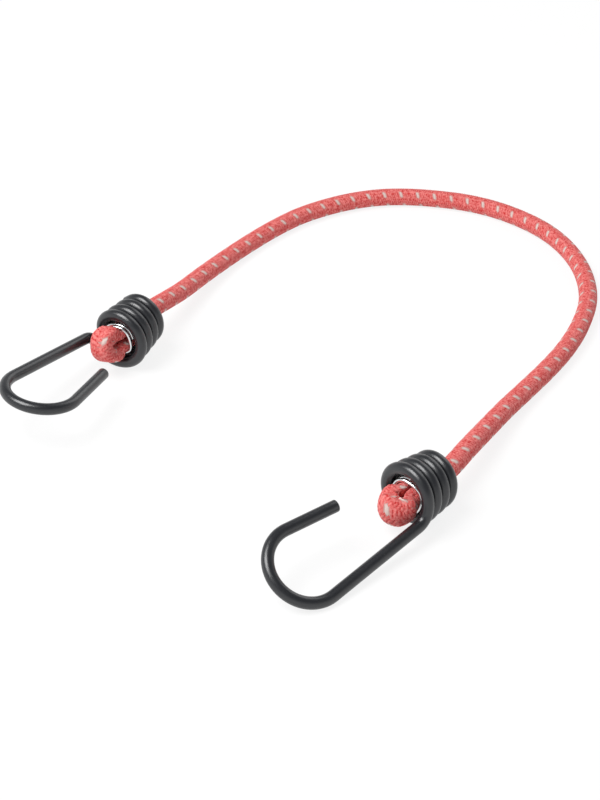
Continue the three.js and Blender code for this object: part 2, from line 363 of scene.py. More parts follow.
@dataclass
class Line:
    """A middle line with a section's frame at each of its points."""

    points: np.ndarray
    across: np.ndarray
    through: np.ndarray
    width: np.ndarray
    depth: np.ndarray
    inner: np.ndarray
    squared: np.ndarray
    lengths: np.ndarray = field(init=False)

    def __post_init__(self) -> None:
        """Measures the line."""
        steps = np.linalg.norm(np.diff(self.points, axis=0), axis=1)
        self.lengths = np.concatenate([[0.0], np.cumsum(steps)])

    @classmethod
    def wished(cls, points: np.ndarray, wishes: np.ndarray, shapes: np.ndarray) -> "Line":
        """Makes a line whose sections' through ways stay near given wishes.

        Args:
            points: points of the middle line.
            wishes: where each section's through way should point.
            shapes: each section's scale across, through and on its inner side, and that side's squareness.

        Returns:
            The line.
        """
        along = unit(np.gradient(points, axis=0))
        through = unit(wishes - along * np.sum(along * wishes, axis=1, keepdims=True))
        return cls(points, np.cross(through, along), through, *shapes.T)

    @classmethod
    def steady(cls, points: np.ndarray, first_wish: np.ndarray) -> "Line":
        """Makes a line whose sections turn about it as little as they can.

        Args:
            points: points of the middle line.
            first_wish: where the first section's through way should point.

        Returns:
            The line.
        """
        wish = first_wish
        wishes = []
        for way in unit(np.gradient(points, axis=0)):
            wish = wish - way * np.dot(way, wish)
            wish = wish / np.linalg.norm(wish)
            wishes.append(wish)
        return cls.wished(points, np.array(wishes), np.tile(PLAIN_SECTION, (len(points), 1)))

    @property
    def length(self) -> float:
        """The line's whole length."""
        return float(self.lengths[-1])

    def between(self, margin: float) -> np.ndarray:
        """Lengths of the line's points that lie further than a margin from both its ends."""
        return self.lengths[(self.lengths > margin) & (self.lengths < self.length - margin)]

    def at(self, places: np.ndarray, values: np.ndarray) -> np.ndarray:
        """Values of the line's points read at given lengths along it.

        Args:
            places: lengths along the line, in an array of any shape.
            values: one number or one vector for each point of the line.

        Returns:
            The values there, with the vectors' numbers on the last axis.
        """
        flat = places.ravel()
        if values.ndim == 1:
            return np.interp(flat, self.lengths, values).reshape(places.shape)
        columns = [np.interp(flat, self.lengths, column) for column in values.T]
        return np.stack(columns, axis=-1).reshape(*places.shape, len(columns))

    def skin(self, places: np.ndarray, angles: np.ndarray, radii: np.ndarray) -> np.ndarray:
        """Points on a surface round the line.

        Args:
            places: length along the line of each point.
            angles: angle round the line of each point, from the across way to the through way.
            radii: distance from the line of each point, before the section's own scale.

        Returns:
            The points, with their numbers on the last axis.
        """
        cosine = np.cos(angles)
        inside = cosine < 0
        power = np.where(inside, 2 / (2 + self.at(places, self.squared)), 1.0)
        reach = np.where(inside, self.at(places, self.inner), self.at(places, self.width))
        sideways = radii * signed_power(cosine, power) * reach
        upward = radii * signed_power(np.sin(angles), power) * self.at(places, self.depth)
        offset = sideways[..., None] * self.at(places, self.across)
        return self.at(places, self.points) + offset + upward[..., None] * self.at(places, self.through)


@dataclass
class RingGrid:
    """Rings of points that follow each other over a surface, with their own flat measures."""

    points: np.ndarray
    turns: np.ndarray
    along: np.ndarray
    closed: bool
    atlas_edge: float = 0.02

    def _spans(self) -> tuple[np.ndarray, np.ndarray, np.ndarray, np.ndarray]:
        """Each face's ring and side, the ring after it and the side beside it.

        Returns:
            Four arrays with a row for each ring that starts faces.
        """
        rings, sides = self.points.shape[:2]
        count = rings if self.closed else rings - 1
        ring, side = np.meshgrid(np.arange(count), np.arange(sides), indexing="ij")
        return ring, side, (ring + 1) % rings, (side + 1) % sides

    def faces(self) -> list[list[int]]:
        """The four-sided faces between neighbouring rings, and the caps of an open grid.

        Returns:
            Each face's corners, as places in the list of all points.
        """
        rings, sides = self.points.shape[:2]
        ring, side, after, beside = self._spans()
        corners = [ring * sides + side, ring * sides + beside, after * sides + beside, after * sides + side]
        faces = np.stack(corners, axis=-1).reshape(-1, 4).tolist()
        if not self.closed:
            last = (rings - 1) * sides
            faces.extend([list(range(sides))[::-1], list(range(last, last + sides))])
        return faces

    def lay(self) -> np.ndarray:
        """Flat measures of each face's corners: turns round the line, and length along it.

        Returns:
            Two numbers for each corner of each four-sided face.
        """
        ring, side, after, beside = self._spans()
        near = self.turns[ring, side]
        far = near + 1.0 / self.points.shape[1]
        corners = [(near, ring, side), (far, ring, beside), (far, after, beside), (near, after, side)]
        flat = [np.stack([turns, self.along[row, column]], axis=-1) for turns, row, column in corners]
        return np.stack(flat, axis=-2).reshape(-1, 2)

    def sheet(self) -> np.ndarray:
        """An atlas of the surface: strips of rings side by side in the unit square.

        Returns:
            Two numbers for each corner of each four-sided face.
        """
        ring, side, _, _ = self._spans()
        spans, sides = ring.shape
        following = np.roll(self.points, -1, axis=0)[:spans]
        steps = np.linalg.norm(following - self.points[:spans], axis=2).mean(axis=1)
        track = np.concatenate([[0.0], np.cumsum(steps)])
        girth = np.linalg.norm(np.roll(self.points, -1, axis=1) - self.points, axis=2).sum(axis=1).max()
        strips = max(1, round(math.sqrt(track[-1] / girth)))
        middle = (track[:-1] + track[1:]) / 2
        strip = np.minimum((middle / track[-1] * strips).astype(int), strips - 1)
        column = strip[ring]
        edge = self.atlas_edge
        inner = 1 - 2 * edge
        left, right = ((column + edge + inner * place / sides) / strips for place in (side, side + 1))
        span = track[-1] / strips
        slack = float(steps.max())
        low, high = ((track[row] - column * span + slack) / (span + 2 * slack) for row in (ring, ring + 1))
        corners = [(left, low), (right, low), (right, high), (left, high)]
        return np.stack([np.stack(pair, axis=-1) for pair in corners], axis=-2).reshape(-1, 2)


def linked(name: str, data: bpy.types.ID) -> bpy.types.Object:
    """Makes an object of its data and links it to the scene.

    Args:
        name: the object's name.
        data: its mesh, camera or light.

    Returns:
        The object.
    """
    made = bpy.data.objects.new(name, data)
    bpy.context.scene.collection.objects.link(made)
    return made


def grid_object(name: str, grid: RingGrid) -> bpy.types.Object:
    """Makes one smooth-shaded mesh object of a ring grid.

    Args:
        name: the piece's name.
        grid: its surface, closed in itself or ending in small caps.

    Returns:
        The object, linked to the scene.
    """
    mesh = bpy.data.meshes.new(name)
    mesh.from_pydata(grid.points.reshape(-1, 3).tolist(), [], grid.faces())
    for map_name, flat in ((LAY_MAP, grid.lay()), (BAKE_MAP, grid.sheet())):
        layer = mesh.uv_layers.new(name=map_name)
        values = np.zeros((len(mesh.loops), 2), np.float32)
        values[: len(flat)] = flat
        layer.uv.foreach_set("vector", values.ravel())
    mesh.uv_layers.active = mesh.uv_layers[LAY_MAP]
    mesh.uv_layers[LAY_MAP].active_render = True
    mesh.polygons.foreach_set("use_smooth", np.ones(len(mesh.polygons), bool))
    mesh.validate()
    mesh.update()
    return linked(name, mesh)


def settle(piece: bpy.types.Object, body: Body, node: str, finish: bpy.types.Material) -> None:
    """Dresses a piece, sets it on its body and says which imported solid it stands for.

    Args:
        piece: the piece.
        body: the body that it rides on.
        node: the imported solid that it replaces.
        finish: its material.
    """
    piece.data.materials.append(finish)
    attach(piece, body.value)
    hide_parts(node)
    LOG.info("%s rides on %s for %s", piece.name, body.value, node)


@dataclass(frozen=True)
class RoundSection:
    """How round rods and tubes along a line are made: their sides, and how their ends are rounded."""

    sides: int
    edge: float
    edge_rings: int = 5
    cap_shares: Span = (0.02, 0.5)
    lip_depth: float = 0.1 * MM
    lip_flare: float = 0.08 * MM

    def _rim(self, radius: float) -> tuple[np.ndarray, np.ndarray]:
        """Lengths and radii of the rings that round an end's edge, from its face inwards."""
        quarter = np.linspace(0, math.pi / 2, self.edge_rings)
        return np.sort(self.edge * (1 - np.sin(quarter))), np.sort(radius - self.edge * (1 - np.cos(quarter)))

    def _rings(self, line: Line, places: np.ndarray, radii: np.ndarray, closed: bool) -> RingGrid:
        """Round rings at given lengths along a line.

        Args:
            line: the middle line.
            places: each ring's length along the line.
            radii: each ring's radius.
            closed: whether the last ring joins the first.

        Returns:
            The rings.
        """
        turns = np.tile(np.arange(self.sides) / self.sides, (len(places), 1))
        lengths = np.repeat(places[:, None], self.sides, axis=1)
        points = line.skin(lengths, FULL_TURN * turns, np.repeat(radii[:, None], self.sides, axis=1))
        return RingGrid(points, turns, lengths, closed)

    def rod(self, line: Line, radius: float) -> RingGrid:
        """A round rod along a line, with rounded ends.

        Args:
            line: the rod's middle line.
            radius: the rod's radius.

        Returns:
            The rod's rings, open at two small caps.
        """
        rim_places, rim_radii = self._rim(radius)
        caps = radius * np.array(self.cap_shares)
        start = np.concatenate([np.zeros(len(caps)), rim_places])
        rising = np.concatenate([caps, rim_radii])
        between = line.between(self.edge)
        places = np.concatenate([start, between, (line.length - start)[::-1]])
        radii = np.concatenate([rising, np.full(len(between), radius), rising[::-1]])
        return self._rings(line, places, radii, False)

    def tube(self, line: Line, outer: float, bore: float) -> RingGrid:
        """A round tube along a line, bored right through, with rounded rims.

        Args:
            line: the tube's middle line.
            outer: the tube's outer radius.
            bore: the bore's radius.

        Returns:
            The tube's rings, closed on themselves through the bore.
        """
        rim_places, rim_radii = self._rim(outer)
        between = line.between(2 * self.edge)
        lip = np.array([0.0, self.lip_depth])
        back = np.concatenate([line.length - lip, between[::-1], lip[::-1]])
        bores = np.full(len(back), bore)
        bores[[0, -1]] = bore + self.lip_flare
        places = np.concatenate([rim_places, between, (line.length - rim_places)[::-1], back])
        radii = np.concatenate([rim_radii, np.full(len(between), outer), rim_radii[::-1], bores])
        return self._rings(line, places, radii, True)


@dataclass(frozen=True)
class Braid:
    """The sleeve's braid: yarns wound both ways, which pass over and under each other."""

    yarns_each_way: int = 8
    pitch: float = 7.95 * MM
    drawn_out: float = 0.21
    drawn_place: float = 80.0 * MM
    drawn_reach: float = 50.0 * MM
    crest: float = 3.9 * MM
    crown: float = 0.19 * MM
    swing: float = 0.08 * MM
    bearing: float = math.radians(40.0)
    twist: float = math.radians(40.0)
    rings_a_rib: int = 4
    sides_a_column: int = 4
    plain_end: float = 3.0 * MM

    @property
    def rib(self) -> float:
        """From one yarn to the next along the cord."""
        return self.pitch / self.yarns_each_way

    @property
    def sides(self) -> int:
        """How many points each ring has."""
        return self.yarns_each_way * self.sides_a_column

    def height(self, turns: np.ndarray, places: np.ndarray) -> np.ndarray:
        """How high the upper yarn stands over the braid's lowest level.

        Args:
            turns: turns round the cord from the tracer's row.
            places: lengths along the braid.

        Returns:
            The heights.
        """
        around = turns * self.yarns_each_way
        over = self.swing * np.cos(math.pi * around)
        heights = []
        for offset, lift in ((-around, over), (around + 0.5, -over)):
            strand = places / self.rib + offset
            aside = 2 * (strand - np.round(strand))
            heights.append(lift + self.crown * np.sqrt(np.maximum(0.0, 1 - aside**2)))
        return np.maximum(*heights) + self.swing

    def laid(self, line: Line) -> np.ndarray:
        """The braid's own length at each of the line's points: it is drawn out near the hooks.

        Args:
            line: the cord's middle line.

        Returns:
            The lengths, in which the braid's pitch is the same all along.
        """
        nearer = np.minimum(line.lengths, line.length - line.lengths)
        slack = 1 + self.drawn_out * np.exp(-(((nearer - self.drawn_place) / self.drawn_reach) ** 2))
        steps = np.diff(line.lengths) * 2 / (slack[:-1] + slack[1:])
        return np.concatenate([[0.0], np.cumsum(steps)])

    def grid(self, line: Line, bore: float) -> RingGrid:
        """The braid's surface, with rings that run along the yarns, and the sleeve's smooth bore.

        Args:
            line: the cord's middle line.
            bore: the bore's radius.

        Returns:
            The sleeve's rings, closed on themselves through the bore.
        """
        laid = self.laid(line)
        whole = laid[-1]
        steady = np.linspace(0, whole, int(whole / self.rib * self.rings_a_rib) + 1)
        turns = np.arange(self.sides) / self.sides
        column = np.abs((turns * self.yarns_each_way + 0.5) % 2 - 1)
        zigzag = self.rib * (0.5 - column)
        room = np.minimum(steady, whole - steady) / self.plain_end
        woven = np.clip(steady[:, None] + np.clip(room, 0, 1)[:, None] * zigzag[None, :], 0, whole)
        heights = self.height(np.tile(turns, (len(woven), 1)), woven)
        radii = self.crest - self.crown - 2 * self.swing + heights
        back = np.linspace(whole, 0, int(whole / self.pitch))
        all_woven = np.concatenate([woven, np.repeat(back[:, None], self.sides, axis=1)])
        all_turns = np.tile(turns, (len(all_woven), 1))
        all_radii = np.concatenate([radii, np.full((len(back), self.sides), bore)])
        places = np.interp(all_woven, laid, line.lengths)
        angles = FULL_TURN * all_turns + self.bearing + self.twist * (places / line.length - 0.5)
        return RingGrid(line.skin(places, angles, all_radii), all_turns, all_woven, True)


class Tree:
    """Short calls that add and join nodes in a material or in a node group."""

    def __init__(self, tree: bpy.types.NodeTree) -> None:
        """Keeps the tree that the calls fill."""
        self.tree = tree

    def add(self, kind: str, **settings: object) -> bpy.types.Node:
        """Adds a node.

        Args:
            kind: the node's type, without the start that all shader nodes share.
            settings: what to set on the node.

        Returns:
            The node.
        """
        node = self.tree.nodes.new("ShaderNode" + kind)
        for name, value in settings.items():
            setattr(node, name, value)
        return node

    def feed(self, socket: Socket, value: object) -> None:
        """Joins a socket to an output, or sets its plain value.

        Args:
            socket: the socket to fill.
            value: an output socket, a number or a colour.
        """
        if isinstance(value, bpy.types.NodeSocket):
            self.tree.links.new(value, socket)
        elif isinstance(value, tuple):
            socket.default_value = (*value, 1.0)
        else:
            socket.default_value = value

    def math(self, operation: str, *values: object) -> Socket:
        """Adds a Math node.

        Args:
            operation: what it does.
            values: output sockets or numbers for its inputs.

        Returns:
            The node's output.
        """
        node = self.add("Math", operation=operation)
        for socket, value in zip(node.inputs, values):
            self.feed(socket, value)
        return node.outputs[0]

    def plus(self, first: object, second: object) -> Socket:
        """The sum of two values."""
        return self.math("ADD", first, second)

    def less(self, first: object, second: object) -> Socket:
        """The first value less the second."""
        return self.math("SUBTRACT", first, second)

    def times(self, first: object, second: object) -> Socket:
        """The product of two values."""
        return self.math("MULTIPLY", first, second)

    def weighed(self, *parts: tuple[object, object]) -> Socket:
        """Adds up values, each times its weight.

        Args:
            parts: pairs of a value and its weight.

        Returns:
            The sum.
        """
        total = self.times(*parts[0])
        for part in parts[1:]:
            total = self.plus(total, self.times(*part))
        return total

    def mix(self, factor: object, first: object, second: object) -> Socket:
        """Adds a mix of two colours.

        Args:
            factor: how much of the second colour shows.
            first: an output socket or a colour.
            second: an output socket or a colour.

        Returns:
            The mixed colour.
        """
        node = self.add("Mix", data_type="RGBA")
        for index, value in ((MIX_FACTOR, factor), (MIX_FIRST, first), (MIX_SECOND, second)):
            self.feed(node.inputs[index], value)
        return node.outputs[MIX_RESULT]

    def span(self, value: object, ends: Span, to_low: object, to_high: object) -> Socket:
        """Maps a range of values to another, held at its ends.

        Args:
            value: the value to map.
            ends: where the first range starts and ends.
            to_low: what its start becomes.
            to_high: what its end becomes.

        Returns:
            The mapped value.
        """
        node = self.add("MapRange")
        for index, given in enumerate((value, *ends, to_low, to_high)):
            self.feed(node.inputs[index], given)
        return node.outputs[0]

    def noise(self, place: Socket, scale: object, detail: float) -> Socket:
        """Adds a noise texture.

        Args:
            place: where it is read.
            scale: its scale.
            detail: how many finer layers it has.

        Returns:
            The noise, from 0 to 1.
        """
        node = self.add("TexNoise")
        for name, value in (("Vector", place), ("Scale", scale), ("Detail", detail)):
            self.feed(node.inputs[name], value)
        return node.outputs["Fac"]

    def rays(self, *kinds: str) -> Socket:
        """Adds a mask that is 1 for some kinds of light ray.

        Args:
            kinds: the kinds, by the names of the Light Path node's outputs.

        Returns:
            The mask.
        """
        path = self.add("LightPath")
        mask = path.outputs[kinds[0]]
        for kind in kinds[1:]:
            mask = self.math("MAXIMUM", mask, path.outputs[kind])
        return mask


class Material(Tree):
    """A material with one principled surface, filled by a finish."""

    def __init__(self, name: str) -> None:
        """Makes the material with its surface and output.

        Args:
            name: the material's name.
        """
        self.material = bpy.data.materials.new(name)
        self.material.use_nodes = True
        super().__init__(self.material.node_tree)
        self.tree.nodes.clear()
        self.surface = self.add("BsdfPrincipled")
        self.output = self.add("OutputMaterial")
        self.feed(self.output.inputs["Surface"], self.surface.outputs[0])

    def set(self, **values: object) -> None:
        """Fills the surface's sockets, named with _ for each space."""
        for name, value in values.items():
            self.feed(self.surface.inputs[name.replace("_", " ")], value)

    def bump(self, height: Socket, distance: float, strength: float) -> None:
        """Gives the surface a bump.

        Args:
            height: the height, from 0 to 1.
            distance: how far a height of 1 stands out.
            strength: how much of the bump shows.
        """
        node = self.add("Bump")
        for name, value in (("Distance", distance), ("Strength", strength), ("Height", height)):
            self.feed(node.inputs[name], value)
        self.feed(self.surface.inputs["Normal"], node.outputs["Normal"])

    def group(self, tree: bpy.types.NodeTree, **values: object) -> bpy.types.Node:
        """Places a node group with its own values.

        Args:
            tree: the group.
            values: values for its inputs.

        Returns:
            The group's node.
        """
        node = self.add("Group", node_tree=tree)
        for name, value in values.items():
            self.feed(node.inputs[name], value)
        return node


@dataclass
class Effects:
    """Shader node groups that several finishes share, each built once."""

    fine_detail: float = 3.0
    broad_detail: float = 2.0
    fine_share: float = 0.6
    broad_share: float = 0.4
    speck_edge: Span = (0.06, 0.16)
    patch_scale: float = 220.0
    patch_edge: Span = (0.52, 0.66)

    def __post_init__(self) -> None:
        """Builds the groups."""
        self.grain = self._grain()
        self.wear = self._wear()

    @staticmethod
    def _group(name: str, inputs: dict[str, float], output: str) -> tuple[Tree, dict[str, Socket], Socket]:
        """Starts a group of numbers.

        Args:
            name: the group's name.
            inputs: names and first values of its inputs.
            output: the name of its output.

        Returns:
            The tree, its input sockets by name, and its output socket.
        """
        tree = bpy.data.node_groups.new(name, "ShaderNodeTree")
        for title, value in inputs.items():
            socket = tree.interface.new_socket(title, in_out="INPUT", socket_type="NodeSocketFloat")
            socket.default_value = value
        tree.interface.new_socket(output, in_out="OUTPUT", socket_type="NodeSocketFloat")
        entry = tree.nodes.new("NodeGroupInput")
        leave = tree.nodes.new("NodeGroupOutput")
        given = {socket.name: socket for socket in entry.outputs if socket.name}
        return Tree(tree), given, leave.inputs[output]

    def _grain(self) -> bpy.types.NodeTree:
        """Fine and broad unevenness of a made surface, as a value for roughness and bump.

        Returns:
            The group.
        """
        tree, given, value = self._group("Grain", {"Fine": 2500.0, "Broad": 250.0}, "Value")
        place = tree.add("TexCoord").outputs["Object"]
        fine = tree.noise(place, given["Fine"], self.fine_detail)
        broad = tree.noise(place, given["Broad"], self.broad_detail)
        tree.feed(value, tree.weighed((fine, self.fine_share), (broad, self.broad_share)))
        return tree.tree

    def _wear(self) -> bpy.types.NodeTree:
        """Dust specks and fine scuffs in patches, as a mask.

        Returns:
            The group.
        """
        tree, given, mask = self._group("Wear", {"Specks": 700.0, "Amount": 0.5}, "Mask")
        place = tree.add("TexCoord").outputs["Object"]
        cells = tree.add("TexVoronoi")
        tree.feed(cells.inputs["Vector"], place)
        tree.feed(cells.inputs["Scale"], given["Specks"])
        near = tree.span(cells.outputs["Distance"], self.speck_edge, 1.0, 0.0)
        patches = tree.noise(place, self.patch_scale, self.broad_detail)
        few = tree.span(patches, self.patch_edge, 0.0, 1.0)
        tree.feed(mask, tree.times(tree.times(near, few), given["Amount"]))
        return tree.tree


@dataclass(frozen=True)
class BraidFinish:
    """Red polyester yarn with one pale tracer yarn. The dark red is painted shade between the yarns and also
    the darker flecks; the tracer's pale crest is a painted highlight and its darker sides are painted shade.
    """

    yarn: Colour = (0.76, 0.215, 0.2)
    # Dark red: painted shade in the valleys between yarns, and also the colour of the darker flecks.
    valley_shade_and_fleck: Colour = (0.5, 0.012, 0.012)
    # Pale tracer colour: a painted highlight along the tracer yarn's crest. The next colour is the tracer's
    # sides, in painted shade.
    tracer: Colour = (0.63, 0.5, 0.46)
    tracer_side_shade: Colour = (0.48, 0.24, 0.22)
    tracer_rim: Span = (0.7, 1.0)
    tracer_highlight_reach: Span = (0.3, 0.75)
    tracer_top: Span = (0.0, 0.5)
    raggedness: float = 0.5
    roughness: float = 0.78
    tracer_gloss: float = 0.35
    sheen: float = 0.12
    sheen_roughness: float = 0.45
    specular: float = 0.25
    crown_lit: Span = (0.1, 0.95)
    crown_share: float = 0.6
    yarn_share: float = 0.2
    fibre_share: float = 0.6
    mottle_share: float = 2.6
    darker: float = 0.03
    mottle_scale: float = 1150.0
    fibre_scale: float = 2.2
    detail: float = 3.0
    fibres_across: float = 2.4
    fibre_slant: float = 1.6
    fibre_run: float = 1.2
    fibre_drift: float = 0.2
    yarn_shift: float = 7.3
    left_numbers: float = 20.0
    crown_bump: float = 0.55
    fibre_bump: float = 0.45
    bump_depth: float = 0.2 * MM
    bump_strength: float = 0.85

    def material(self, braid: Braid) -> bpy.types.Material:
        """Builds the braid's material, laid out by the same rule as its surface.

        Args:
            braid: the braid that it dresses.

        Returns:
            The material.
        """
        made = Material("braided_yarn")
        yarns = float(braid.yarns_each_way)
        flat = made.add("SeparateXYZ")
        made.feed(flat.inputs[0], made.add("UVMap", uv_map=LAY_MAP).outputs[0])
        around = made.times(flat.outputs[0], yarns)
        along = made.math("DIVIDE", flat.outputs[1], braid.rib)
        over = made.math("COSINE", made.times(around, math.pi))
        rise = made.times(over, braid.swing / braid.crown)
        right = made.less(along, around)
        left = made.plus(made.plus(along, around), 0.5)
        right_top, right_aside, right_number = self._strand(made, right, yarns)
        left_top, left_aside, left_number = self._strand(made, left, yarns)
        left_number = made.plus(left_number, self.left_numbers)
        right_shows = made.math("GREATER_THAN", made.plus(right_top, rise), made.less(left_top, rise))
        left_shows = made.less(1.0, right_shows)
        pairs = ((right_top, left_top), (right_aside, left_aside), (right_number, left_number))
        upper = [made.weighed((one, right_shows), (other, left_shows)) for one, other in pairs]
        crown, aside, number = upper
        fibre = self._fibre(made, around, along, aside, number)
        colour = self._colour(made, crown, number, fibre)
        beside = made.math("FLOORED_MODULO", made.plus(right, yarns / 2), yarns)
        beside = made.math("ABSOLUTE", made.less(beside, yarns / 2))
        ragged = made.plus(beside, made.times(made.less(fibre, 0.5), self.raggedness))
        is_tracer = made.times(made.span(ragged, self.tracer_rim, 1.0, 0.0), right_shows)
        # Painted highlight on the tracer's crest where it rises over the other yarns, fading to painted shade
        # at its sides.
        on_top = made.span(over, self.tracer_top, 0.0, 1.0)
        crest_highlight = made.times(made.span(ragged, self.tracer_highlight_reach, 1.0, 0.0), on_top)
        pale = made.mix(crest_highlight, self.tracer_side_shade, self.tracer)
        made.set(
            Base_Color=made.mix(is_tracer, colour, pale),
            Roughness=made.less(self.roughness, made.times(is_tracer, self.tracer_gloss)),
            Sheen_Weight=self.sheen,
            Sheen_Roughness=self.sheen_roughness,
            Specular_IOR_Level=self.specular,
        )
        height = made.weighed((crown, self.crown_bump), (fibre, self.fibre_bump))
        made.bump(height, self.bump_depth, self.bump_strength)
        return made.material

    @staticmethod
    def _strand(made: Material, strand: Socket, yarns: float) -> tuple[Socket, Socket, Socket]:
        """Measures of the yarns that run one way.

        Args:
            made: the material.
            strand: the place across these yarns, in yarns.
            yarns: how many of them there are.

        Returns:
            How high the yarn stands, the place across it from -1 to 1, and its number.
        """
        number = made.math("ROUND", strand)
        aside = made.times(made.less(strand, number), 2.0)
        hollow = made.less(1.0, made.times(aside, aside))
        top = made.math("SQRT", made.math("MAXIMUM", hollow, 0.0))
        return top, aside, made.math("FLOORED_MODULO", number, yarns)

    def _fibre(self, made: Material, around: Socket, along: Socket, aside: Socket, number: Socket) -> Socket:
        """Fine threads that run along each yarn with its twist.

        Args:
            made: the material.
            around: the place round the cord, in yarns.
            along: the place along the cord, in yarns.
            aside: the place across the upper yarn, from -1 to 1.
            number: which yarn is uppermost.

        Returns:
            The threads' height, from 0 to 1.
        """
        place = made.add("CombineXYZ")
        made.feed(place.inputs[0], made.weighed((aside, self.fibres_across), (around, self.fibre_slant)))
        made.feed(place.inputs[1], made.times(around, self.fibre_run))
        made.feed(place.inputs[2], made.weighed((number, self.yarn_shift), (along, self.fibre_drift)))
        return made.noise(place.outputs[0], self.fibre_scale, self.detail)

    def _colour(self, made: Material, crown: Socket, number: Socket, fibre: Socket) -> Socket:
        """The red yarn's colour: darker between yarns as painted shade, a little different on each yarn, with
        dark and light flecks.

        Args:
            made: the material.
            crown: how high the upper yarn stands, from 0 to 1.
            number: which yarn is uppermost.
            fibre: the threads' height.

        Returns:
            The colour.
        """
        tone = made.add("TexWhiteNoise", noise_dimensions="1D")
        made.feed(tone.inputs["W"], number)
        mottle = made.noise(made.add("TexCoord").outputs["Object"], self.mottle_scale, self.detail)
        # The crown term is painted shade: the valleys between yarns take the dark red. The tone, fibre and
        # mottle terms are the yarn's own flecks.
        light = made.weighed(
            (made.span(crown, self.crown_lit, 0.0, 1.0), self.crown_share),
            (tone.outputs["Value"], self.yarn_share),
            (made.less(fibre, 0.5), self.fibre_share),
            (made.less(mottle, 0.5), self.mottle_share),
        )
        return made.mix(made.less(light, self.darker), self.valley_shade_and_fleck, self.yarn)


@dataclass(frozen=True)
class GrainedFinish:
    """A finish of one colour with specks of another, and gloss and bump that follow its grain."""

    name: str
    colour: Colour
    speck_colour: Colour
    gloss: float
    dull: float
    fine: float
    broad: float
    bump_depth: float
    bump_strength: float
    specks: float = 0.0
    speck_amount: float = 0.0
    metallic: float = 0.0
    specular: float = 0.5
    grain_ends: Span = (0.3, 0.7)

    def material(self, effects: Effects) -> bpy.types.Material:
        """Builds the material. Where the finish has no specks, the second colour follows the grain.

        Args:
            effects: the shared groups.

        Returns:
            The material.
        """
        made = Material(self.name)
        grain = made.group(effects.grain, Fine=self.fine, Broad=self.broad).outputs["Value"]
        mask = grain
        if self.specks:
            wear = made.group(effects.wear, Specks=self.specks, Amount=self.speck_amount)
            mask = wear.outputs["Mask"]
        made.set(
            Base_Color=made.mix(mask, self.colour, self.speck_colour),
            Roughness=made.span(grain, self.grain_ends, self.gloss, self.dull),
            Metallic=self.metallic,
            Specular_IOR_Level=self.specular,
        )
        made.bump(grain, self.bump_depth, self.bump_strength)
        return made.material


@dataclass(frozen=True)
class CoatFinish(GrainedFinish):
    """Black plastic coat with a satin gloss, a little dust and fine scuffs."""

    name: str = "black_coat"
    colour: Colour = (0.011, 0.0123, 0.0155)
    speck_colour: Colour = (0.10, 0.10, 0.10)
    gloss: float = 0.27
    dull: float = 0.36
    fine: float = 1800.0
    broad: float = 160.0
    bump_depth: float = 0.03 * MM
    bump_strength: float = 0.2
    specks: float = 900.0
    speck_amount: float = 0.6
    specular: float = 0.7


@dataclass(frozen=True)
class WireFinish(GrainedFinish):
    """Drawn steel wire, a little tarnished."""

    name: str = "drawn_steel"
    colour: Colour = (0.36, 0.36, 0.37)
    speck_colour: Colour = (0.10, 0.09, 0.08)
    gloss: float = 0.30
    dull: float = 0.50
    fine: float = 3000.0
    broad: float = 600.0
    bump_depth: float = 0.02 * MM
    bump_strength: float = 0.3
    specks: float = 1400.0
    speck_amount: float = 0.7
    metallic: float = 1.0


@dataclass(frozen=True)
class ClipFinish(WireFinish):
    """Steel wire with a bright plating."""

    name: str = "bright_plating"
    colour: Colour = (0.80, 0.81, 0.82)
    speck_colour: Colour = (0.35, 0.35, 0.36)
    gloss: float = 0.12
    dull: float = 0.28


@dataclass(frozen=True)
class RubberFinish(GrainedFinish):
    """Natural latex with a dusting of talc."""

    name: str = "latex"
    colour: Colour = (0.70, 0.55, 0.33)
    speck_colour: Colour = (0.80, 0.74, 0.62)
    gloss: float = 0.55
    dull: float = 0.8
    fine: float = 4000.0
    broad: float = 900.0
    bump_depth: float = 0.03 * MM
    bump_strength: float = 0.5


class Finishes:
    """The materials of all pieces."""

    def __init__(self, braid: Braid) -> None:
        """Builds each material once.

        Args:
            braid: the braid that the sleeve's material dresses.
        """
        effects = Effects()
        self.sleeve = BraidFinish().material(braid)
        self.coat = CoatFinish().material(effects)
        self.wire = WireFinish().material(effects)
        self.clip = ClipFinish().material(effects)
        self.rubber = RubberFinish().material(effects)


